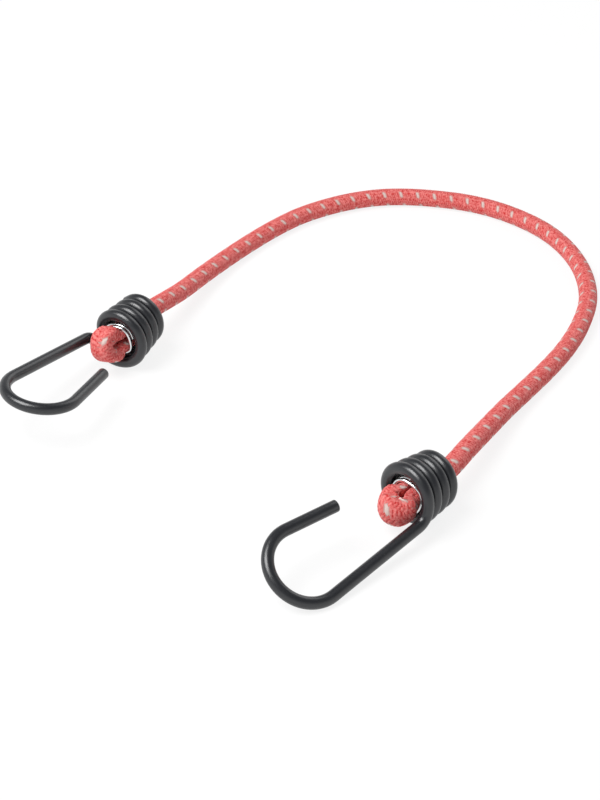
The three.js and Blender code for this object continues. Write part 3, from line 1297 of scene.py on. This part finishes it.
@dataclass
class Hook:
    """One hook: the steel wire from the coil's cut end to the tip, and its coat."""

    pose: HookPose
    sizes: HookSizes
    cord: CordSizes
    coil_steps: int = 48
    cut_steps: int = 4
    neck_steps: int = 12
    bend_steps: int = 36
    straight_step: float = 4.0 * MM
    coat_section: RoundSection = RoundSection(sides=28, edge=0.22 * MM)
    wire_section: RoundSection = RoundSection(sides=16, edge=0.2 * MM)

    def line(self) -> Line:
        """The wire's middle line in the part's frame, from the coil's cut end to the tip.

        Returns:
            The line.
        """
        points = self._coil()
        mouth = points[-1]
        leaving = (points[-1] - points[-2]).normalized()
        inward = Vector((0, self.sizes.mouth_radius(self.cord), -self.sizes.neck_radius)).normalized()
        axis = Vector((1, 0, 0))
        lean = self.pose.bends.lean
        tilt = self.pose.bends.tilt
        outward = axis * math.cos(lean) - inward * math.sin(lean)
        shank_way = outward * math.cos(tilt) + axis.cross(inward) * math.sin(tilt)
        cross_way = axis * math.sin(lean) + inward * math.cos(lean)
        bend_way = (shank_way - leaving * leaving.dot(shank_way)).normalized()
        neck = leaving.angle(shank_way)
        for step in range(1, self.neck_steps + 1):
            angle = neck * step / self.neck_steps
            ahead = leaving * math.sin(angle) + bend_way * (1 - math.cos(angle))
            points.append(mouth + ahead * self.sizes.neck_radius)
        self._straight(points, shank_way, self.sizes.shank)
        self._bend(points, shank_way, cross_way)
        flat = np.array([tuple(point) for point in points])
        return Line.steady(moved(self.pose.matrix(self.pose.roll), flat), np.array(self.pose.axis))

    def _coil(self) -> list[Vector]:
        """The coil's points from its straight cut end to its mouth.

        Returns:
            The points in the coil's own frame.
        """
        size = self.sizes
        mouth = size.mouth_radius(self.cord)
        steps = round(size.coil_turns * self.coil_steps)
        points = []
        for step in range(steps + 1):
            turns = size.coil_turns * (1 - step / steps)
            radius = mouth - size.coil_taper * size.pitch * turns
            angle = FULL_TURN * turns
            points.append(Vector((-size.pitch * turns, -radius * math.cos(angle), -radius * math.sin(angle))))
        end_way = (points[0] - points[1]).normalized()
        shares = [step / self.cut_steps for step in range(self.cut_steps, 0, -1)]
        return [points[0] + end_way * size.cut_length * share for share in shares] + points

    def _straight(self, points: list[Vector], way: Vector, length: float) -> None:
        """Adds a straight run.

        Args:
            points: the line so far, which grows.
            way: where the run goes.
            length: how long it is.
        """
        start = points[-1].copy()
        steps = math.ceil(length / self.straight_step)
        points.extend(start + way * (length * step / steps) for step in range(1, steps + 1))

    def _bend(self, points: list[Vector], shank_way: Vector, cross_way: Vector) -> None:
        """Adds the round bend and the leg that closes in on the shank.

        Args:
            points: the line so far, which grows.
            shank_way: where the shank points.
            cross_way: from the shank to the leg.
        """
        centre = points[-1] + cross_way * self.sizes.bend_radius
        turn = math.pi + self.pose.bends.closing
        for step in range(1, self.bend_steps + 1):
            angle = turn * step / self.bend_steps
            ahead = shank_way * math.sin(angle) - cross_way * math.cos(angle)
            points.append(centre + ahead * self.sizes.bend_radius)
        leg_way = shank_way * math.cos(turn) + cross_way * math.sin(turn)
        self._straight(points, leg_way, self.pose.bends.leg)

    def build(self, finishes: Finishes) -> None:
        """Makes the coat and the wire, dresses them and sets them on their body.

        Args:
            finishes: the materials.
        """
        letter = self.pose.side.value
        body = Body(f"hook_{letter}")
        line = self.line()
        tube = self.coat_section.tube(line, self.sizes.coat_radius, self.sizes.coat_bore)
        recess = self.sizes.tip_recess
        inset = (line.lengths >= recess) & (line.lengths <= line.length - recess)
        core = Line.steady(line.points[inset], line.through[inset][0])
        rod = self.wire_section.rod(core, self.sizes.wire / 2)
        settle(grid_object(f"coat_{letter}", tube), body, f"hook_coat_{letter}", finishes.coat)
        settle(grid_object(f"wire_{letter}", rod), body, f"hook_wire_{letter}", finishes.wire)


@dataclass
class EndClip:
    """The steel wire that is closed about both limbs of a folded end."""

    pose: HookPose
    cord: CordSizes
    hook: HookSizes
    steps_a_turn: int = 96
    start_turn: float = 0.25
    section: RoundSection = RoundSection(sides=14, edge=0.15 * MM)

    def line(self) -> Line:
        """The clip wire's middle line: an oval turn that ends a quarter turn beside itself.

        Returns:
            The line in the part's frame.
        """
        cord = self.cord
        reach = cord.clip_reach - cord.clip_wire / 2
        power = cord.clip_squareness
        spread = cord.radius * cord.limb_spread
        widest = spread * (1 - (cord.limb_offset / reach) ** power) ** (-1 / power)
        through = widest + cord.clearance + cord.clip_wire / 2
        turns = np.linspace(0, cord.clip_turns, round(cord.clip_turns * self.steps_a_turn) + 1)
        angles = FULL_TURN * (turns + self.start_turn)
        x = -cord.clip_depth + cord.clip_wire / 2 + cord.clip_pitch * turns
        y = reach * signed_power(np.cos(angles), 2 / power)
        z = through * signed_power(np.sin(angles), 2 / power)
        oval = np.stack([x, y, z], axis=1) + self.pose.hang(x, cord, self.hook)
        return Line.steady(moved(self.pose.matrix(self.pose.fold_turn), oval), np.array(self.pose.axis))

    def build(self, finishes: Finishes) -> bpy.types.Object:
        """Makes the clip, dresses it and sets it on the cord.

        Args:
            finishes: the materials.

        Returns:
            The piece.
        """
        letter = self.pose.side.value
        clip = grid_object(f"clip_wire_{letter}", self.section.rod(self.line(), self.cord.clip_wire / 2))
        settle(clip, Body.CORD, f"clip_{letter}", finishes.clip)
        return clip


@dataclass
class Cord:
    """The elastic cord from cut end to cut end: the braided sleeve and the strands in it."""

    sizes: CordSizes
    hooks: HookSizes
    poses: dict[Side, HookPose]
    braid: Braid
    line_steps: int = 24
    fold_steps: int = 18
    easing: tuple[float, ...] = (0.3, 0.6, 1.0)
    strand_step: float = 1.5 * MM
    strand_section: RoundSection = RoundSection(sides=12, edge=0.1 * MM)

    def line(self) -> Line:
        """The cord's middle line, from the cut end in hook a to the one in hook b.

        Returns:
            The line in the part's frame.
        """
        pose_a, pose_b = self.poses[Side.A], self.poses[Side.B]
        shift = pose_a.origin - TABLE_PLACE_A
        lying = np.array(ROUTE) + np.array([shift.x, shift.y, self.sizes.lying_height])
        leads = [pose.on_axis(self.hooks.rear - self.sizes.lead)[None, :] for pose in (pose_a, pose_b)]
        free = np.concatenate([leads[0], lying, leads[1]])
        upright = np.tile((0.0, 0.0, 1.0, *PLAIN_SECTION), (len(free), 1))
        free = np.concatenate([free, upright], axis=1)
        rows = np.concatenate([self._fold(pose_a), free, self._fold(pose_b)[::-1]])
        fine = smooth_rows(rows, self.line_steps)
        return Line.wished(fine[:, :3], fine[:, 3:6], fine[:, 6:])

    def _fold(self, pose: HookPose) -> np.ndarray:
        """Stations of a folded end, from its cut end to the coil's rear.

        Args:
            pose: how the hook lies that holds it.

        Returns:
            Rows of a point, the wish for the section's through way, and the section's four shape numbers.
        """
        size = self.sizes
        places, turns, shapes = [], [], []

        def station(
            x: float, y: float, half: float, deep: float, part: float = 0.0, inner: float = 0.0
        ) -> None:
            """Adds a station.

            Args:
                x: its place along the coil's axis.
                y: its place beside the axis.
                half: half the section's thickness.
                deep: half the section's width.
                part: how much of the fold's turn is undone there.
                inner: how far the section reaches on its inner side, where that is more than half.
            """
            untwist = pose.fold_turn * part
            places.append((x, y, 0.0))
            turns.append((0.0, math.sin(untwist), math.cos(untwist)))
            scales = [reach / size.radius for reach in (half, deep, max(half, inner))]
            shapes.append((*scales, pose.fold.pressed * (1 - part)))

        spread = size.radius * size.limb_spread
        front = size.clip_pitch * size.clip_turns + size.clip_wire - size.clip_depth + size.swell_room
        tail = -size.clip_depth - size.tail
        wide = size.radius * pose.fold.spread
        swell = spread + (wide - spread) * pose.fold.shoulder
        for x, deep in ((tail, spread), (-size.clip_depth, spread), (front, swell)):
            station(x, size.limb_offset, size.limb_half, deep)
        fold_x = self.hooks.fold_x(size)
        for step in range(self.fold_steps + 1):
            angle = math.pi / 2 - math.pi * step / self.fold_steps
            ahead = math.cos(angle) ** 2
            half = size.fold_half + (size.radius * size.tip_squeeze - size.fold_half) * ahead
            radius = size.fold_reach - half
            inner = radius - size.limb_gap / 2 - size.pit * ahead
            x = fold_x + radius * math.cos(angle)
            station(x, radius * math.sin(angle), half, wide, inner=inner)
        for x, deep in ((front, swell), (-size.clip_depth, spread), (tail - size.limb_gap, spread)):
            station(x, -size.limb_offset, size.limb_half, deep)
        rear = self.hooks.rear
        shift = tail - size.limb_gap - rear
        for part in self.easing:
            ease = 1 - part * part * (3 - 2 * part)
            half = size.radius + (size.limb_half - size.radius) * ease
            deep = size.radius + (spread - size.radius) * ease
            station(rear + shift * (1 - part), -size.limb_offset * ease, half, deep, part)
        matrix = pose.matrix(pose.fold_turn)
        ways = np.array(turns) @ np.array(matrix.to_3x3()).T
        hung = np.array(places) + pose.hang(np.array(places)[:, 0], size, self.hooks)
        return np.concatenate([moved(matrix, hung), ways, np.array(shapes)], axis=1)

    def build(self, finishes: Finishes, clips: list[bpy.types.Object]) -> None:
        """Args:
            finishes: the materials.
            clips: the clips that sit on the cord. Not used.
        """
        line = self.line()
        sleeve = grid_object("braided_sleeve", self.braid.grid(line, self.sizes.bore))
        settle(sleeve, Body.CORD, "sleeve", finishes.sleeve)
        strands = self._strands(line, finishes)
        every = line.at(np.linspace(0, line.length, round(line.length / self.braid.rib)), line.points)
        tuple(self.poses[Side.A].on_axis(self.hooks.rear))
        LOG.info("%s: %.1f mm from cut end to cut end", sleeve.name, line.length / MM)

    def _strands(self, line: Line, finishes: Finishes) -> list[bpy.types.Object]:
        """Makes the rubber strands: one in the middle and a ring of them round it.

        Args:
            line: the cord's middle line.
            finishes: the materials.

        Returns:
            The pieces.
        """
        spacing = 2 * self.sizes.strand + self.sizes.strand_gap
        step = np.linspace(0, line.length, round(line.length / self.strand_step))
        shape = [line.at(step, values) for values in (line.across, line.through, line.width, line.depth)]
        shape.extend([shape[2], np.zeros(len(step))])
        made = []
        for number in range(self.sizes.strands_round_middle + 1):
            angle = FULL_TURN * number / self.sizes.strands_round_middle
            away = 0.0 if number == 0 else spacing
            middle = line.skin(step, np.full(len(step), angle), np.full(len(step), away))
            rod = self.strand_section.rod(Line(middle, *shape), self.sizes.strand)
            strand = grid_object(f"rubber_strand_{number + 1}", rod)
            settle(strand, Body.CORD, f"strand_{number + 1}", finishes.rubber)
            made.append(strand)
        return made


@dataclass(frozen=True)
class Lamp:
    """A square soft lamp: its place from what it points at, its side and its power in watts."""

    name: str
    place: Place
    size: float
    power: float

    def hang(self, aim: Vector) -> None:
        """Makes the lamp.

        Args:
            aim: what it points at.
        """
        data = bpy.data.lights.new(self.name, "AREA")
        data.size = self.size
        data.energy = self.power
        lamp = linked(self.name, data)
        lamp.location = aim + Vector(self.place)
        lamp.rotation_euler = (aim - lamp.location).to_track_quat("-Z", "Y").to_euler()


@dataclass
class Studio:
    """The floor, the light and the camera at the photograph's viewing angle."""

    elevation: float = math.radians(34.22)
    distance: float = 718.0 * MM
    focal_pixels: float = 1840.2
    sensor: float = 36.0
    clip_range: Span = (0.01, 20.0)
    floor_size: float = 6.0
    floor_colour: Colour = (0.93, 0.93, 0.93)
    floor_roughness: float = 0.9
    floor_specular: float = 0.1
    floor_shadow: float = 0.15
    shadow_fade: Span = (0.3, 1.0)
    world_strength: float = 0.33
    wall_edge: Span = (0.1, 0.6)
    ceiling: float = 0.2
    lamps: tuple[Lamp, ...] = (
        Lamp("key", place=(-0.6, -0.26, 1.07), size=0.75, power=18.0),
        Lamp("fill", place=(0.7, 0.9, 0.9), size=0.9, power=4.0),
    )

    def camera(self, aim: Vector) -> None:
        """Makes the camera and sets it as the scene's.

        Args:
            aim: the point in the middle of the picture.
        """
        data = bpy.data.cameras.new("camera")
        data.lens = self.focal_pixels / IMAGE_HEIGHT * self.sensor
        data.sensor_width = self.sensor
        data.clip_start, data.clip_end = self.clip_range
        camera = linked("camera", data)
        back = Vector((0.0, -math.cos(self.elevation), math.sin(self.elevation)))
        camera.location = aim + back * self.distance
        camera.rotation_euler = (-back).to_track_quat("-Z", "Y").to_euler()
        bpy.context.scene.camera = camera

    def floor(self, middle: Vector) -> None:
        """Makes the pale floor, white to the camera and in reflections but for the object's shadow.

        Args:
            middle: the floor's middle.
        """
        half = self.floor_size / 2
        corners = [(-half, -half, 0), (half, -half, 0), (half, half, 0), (-half, half, 0)]
        mesh = bpy.data.meshes.new("floor")
        mesh.from_pydata(corners, [], [(0, 1, 2, 3)])
        floor = linked("floor", mesh)
        floor.location = middle
        made = Material("pale_floor")
        made.set(
            Base_Color=self.floor_colour,
            Roughness=self.floor_roughness,
            Specular_IOR_Level=self.floor_specular,
        )
        away = made.add("VectorMath", operation="LENGTH")
        made.feed(away.inputs[0], made.add("TexCoord").outputs["Object"])
        shown = made.span(away.outputs["Value"], self.shadow_fade, 1 - self.floor_shadow, 1.0)
        seen = made.rays("Is Camera Ray", "Is Glossy Ray", "Is Transmission Ray")
        mixed = made.add("MixShader")
        made.feed(mixed.inputs[0], made.times(seen, shown))
        made.feed(mixed.inputs[1], made.surface.outputs[0])
        made.feed(mixed.inputs[2], made.add("Emission").outputs[0])
        made.feed(made.output.inputs["Surface"], mixed.outputs[0])
        mesh.materials.append(made.material)
        floor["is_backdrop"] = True

    def world(self) -> None:
        """Makes a white world, full white to the camera, and in reflections with a dimmer ceiling."""
        world = bpy.data.worlds.new("studio")
        world.use_nodes = True
        world.node_tree.nodes.clear()
        tree = Tree(world.node_tree)
        way = tree.add("SeparateXYZ")
        tree.feed(way.inputs[0], tree.add("TexCoord").outputs["Generated"])
        wall = tree.span(way.outputs[2], self.wall_edge, 1.0, self.ceiling)
        seen = tree.rays("Is Camera Ray", "Is Transmission Ray")
        plain = tree.span(seen, (0.0, 1.0), self.world_strength, 1.0)
        mirrored = tree.times(tree.rays("Is Glossy Ray"), tree.less(wall, self.world_strength))
        sky = tree.add("Background")
        tree.feed(sky.inputs["Strength"], tree.plus(plain, mirrored))
        tree.feed(sky.inputs["Color"], (1.0, 1.0, 1.0))
        tree.feed(tree.add("OutputWorld").inputs["Surface"], sky.outputs[0])
        bpy.context.scene.world = world

    def light(self, aim: Vector) -> None:
        """Makes the world and hangs the lamps, which point at the aim."""
        self.world()
        for lamp in self.lamps:
            lamp.hang(aim)


def hook_poses(joints: list[dict]) -> dict[Side, HookPose]:
    """Reads where the hooks lie from their swivels.

    Args:
        joints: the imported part's joints.

    Returns:
        Each hook's pose.
    """
    by_name = {joint["name"]: joint for joint in joints}
    lies = {
        Side.A: {
            "bends": HookBends(math.radians(4.0), math.radians(9.9), math.radians(10.5), leg=21.8 * MM),
            "roll": math.radians(176.4),
            "fold_turn": math.radians(-12.0),
            "aside": 0.0,
            "lift": -1.5 * MM,
            "fold": FoldShape(spread=1.4, shoulder=0.7, pressed=5.5),
        },
        Side.B: {
            "bends": HookBends(math.radians(5.5), math.radians(10.7), math.radians(13.0), leg=24.8 * MM),
            "roll": math.radians(23.2),
            "fold_turn": math.radians(-80.0),
            "aside": -0.8 * MM,
            "lift": 0.6 * MM,
            "fold": FoldShape(spread=1.16, shoulder=0.3, pressed=2.0),
        },
    }
    poses = {}
    for side, lie in lies.items():
        joint = by_name[f"hook_{side.value}_swivel"]
        axis = Vector(joint["axis"]).normalized()
        poses[side] = HookPose(side, origin=Vector(joint["pos_m"]), axis=axis, **lie)
    return poses


def main() -> None:
    """Builds the camera, the cord, the hooks and the light, in that order."""
    logging.basicConfig(level=logging.INFO, format="%(name)s: %(message)s")
    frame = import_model()
    bpy.context.scene.view_settings.view_transform = "Standard"
    poses = hook_poses(frame["joints"])
    shift = poses[Side.A].origin - TABLE_PLACE_A
    aim = Vector((shift.x, shift.y, 0.0))
    studio = Studio()
    studio.camera(aim)
    braid = Braid()
    finishes = Finishes(braid)
    cord_sizes = CordSizes()
    hook_sizes = HookSizes()
    clips = [EndClip(pose, cord_sizes, hook_sizes).build(finishes) for pose in poses.values()]
    Cord(cord_sizes, hook_sizes, poses, braid).build(finishes, clips)
    for pose in poses.values():
        Hook(pose, hook_sizes, cord_sizes).build(finishes)
    shown_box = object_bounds()
    studio.floor(Vector((aim.x, aim.y, min(0.0, shown_box[0].z))))
    studio.light(aim)


if __name__ == "__main__":
    main()
